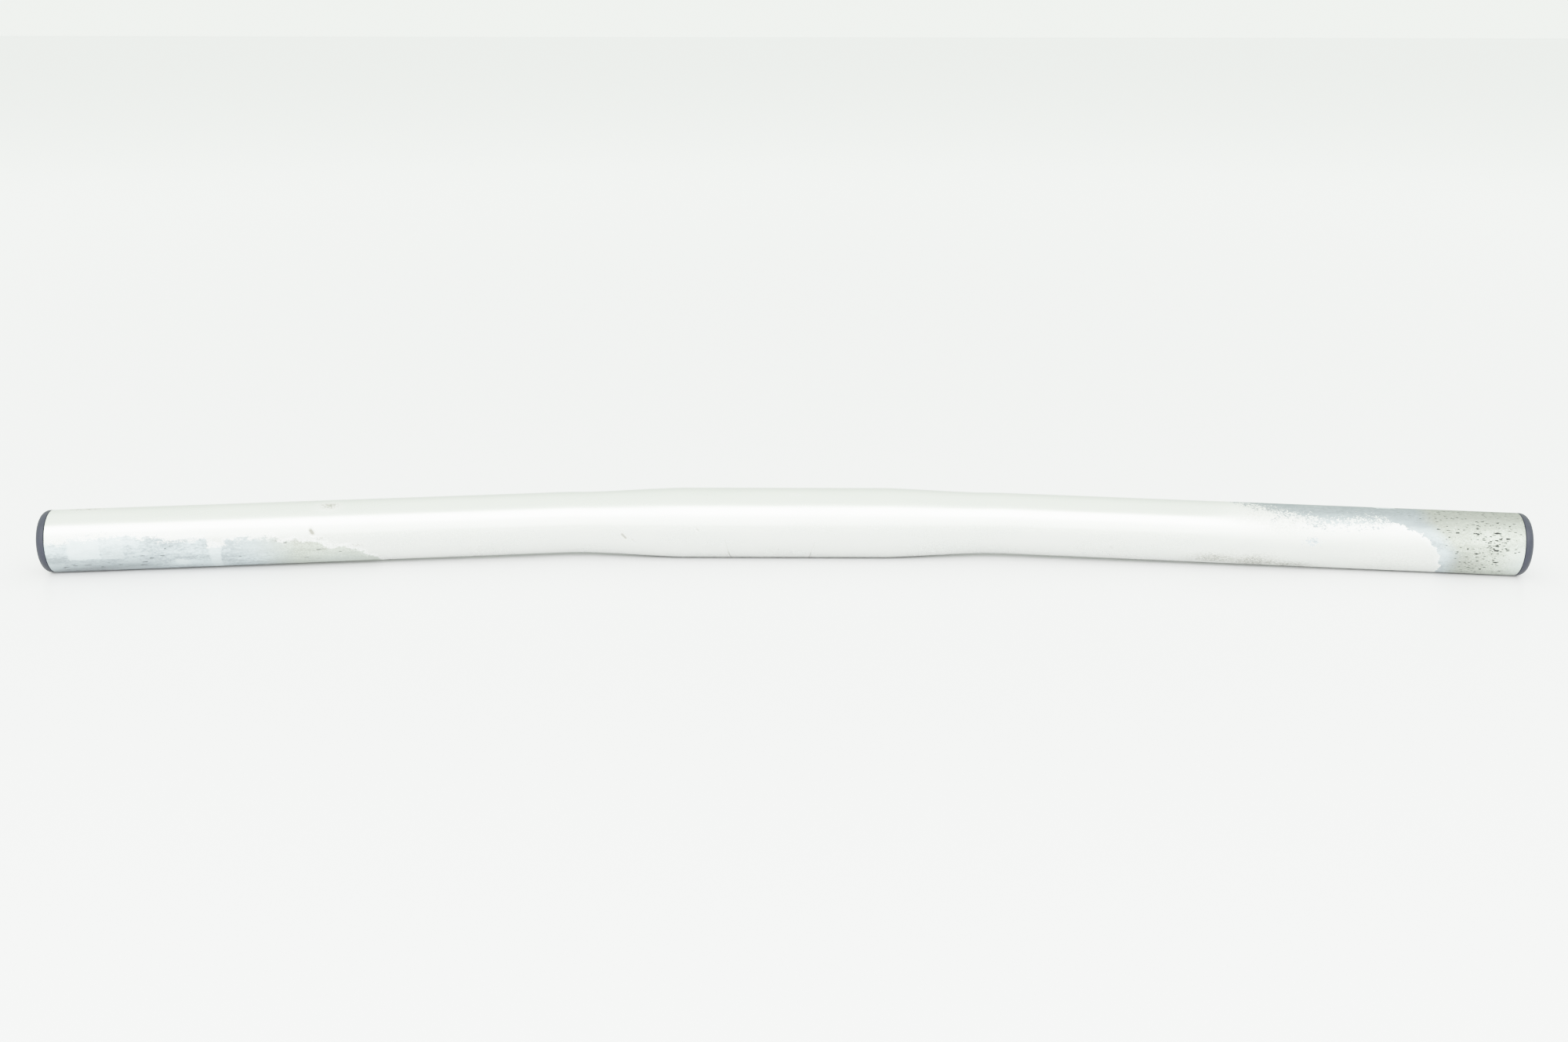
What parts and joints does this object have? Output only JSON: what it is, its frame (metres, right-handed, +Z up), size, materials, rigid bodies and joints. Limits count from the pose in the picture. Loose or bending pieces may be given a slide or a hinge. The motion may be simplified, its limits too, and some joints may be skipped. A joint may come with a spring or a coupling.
{
  "type": "flat handlebar",
  "caption": "Flat bicycle handlebar: silver aluminium tube with a thicker clamp zone in the middle, gently swept-back grip zones and push-in plastic end plugs.",
  "frame": {"origin": "middle of the stem clamp zone, on the tube's centre line", "axes": "+X along the bar to the rider's right hand, -Y back towards the rider (the way the grips sweep), +Z up with the bar lying on a flat surface, where the clamp zone and both ends touch z = -12.7 mm"},
  "size_m": [0.5264, 0.0428, 0.0254],
  "materials": {
    "bar_metal": "satin",
    "plug_plastic": "matte"
  },
  "bodies": {
    "handlebar": {"handlebar_tube": "bar_metal"},
    "end_plug_left": {"end_plug_left": "plug_plastic"},
    "end_plug_right": {"end_plug_right": "plug_plastic"}
  },
  "joints": [
    {"name": "end_plug_left_pull", "type": "slide", "parent": "handlebar", "child": "end_plug_left", "axis": [-0.9945, -0.1042, -0.0088], "range_m": [0, 0.04]},
    {"name": "end_plug_right_pull", "type": "slide", "parent": "handlebar", "child": "end_plug_right", "axis": [0.9945, -0.1042, -0.0088], "range_m": [0, 0.04]}
  ]
}
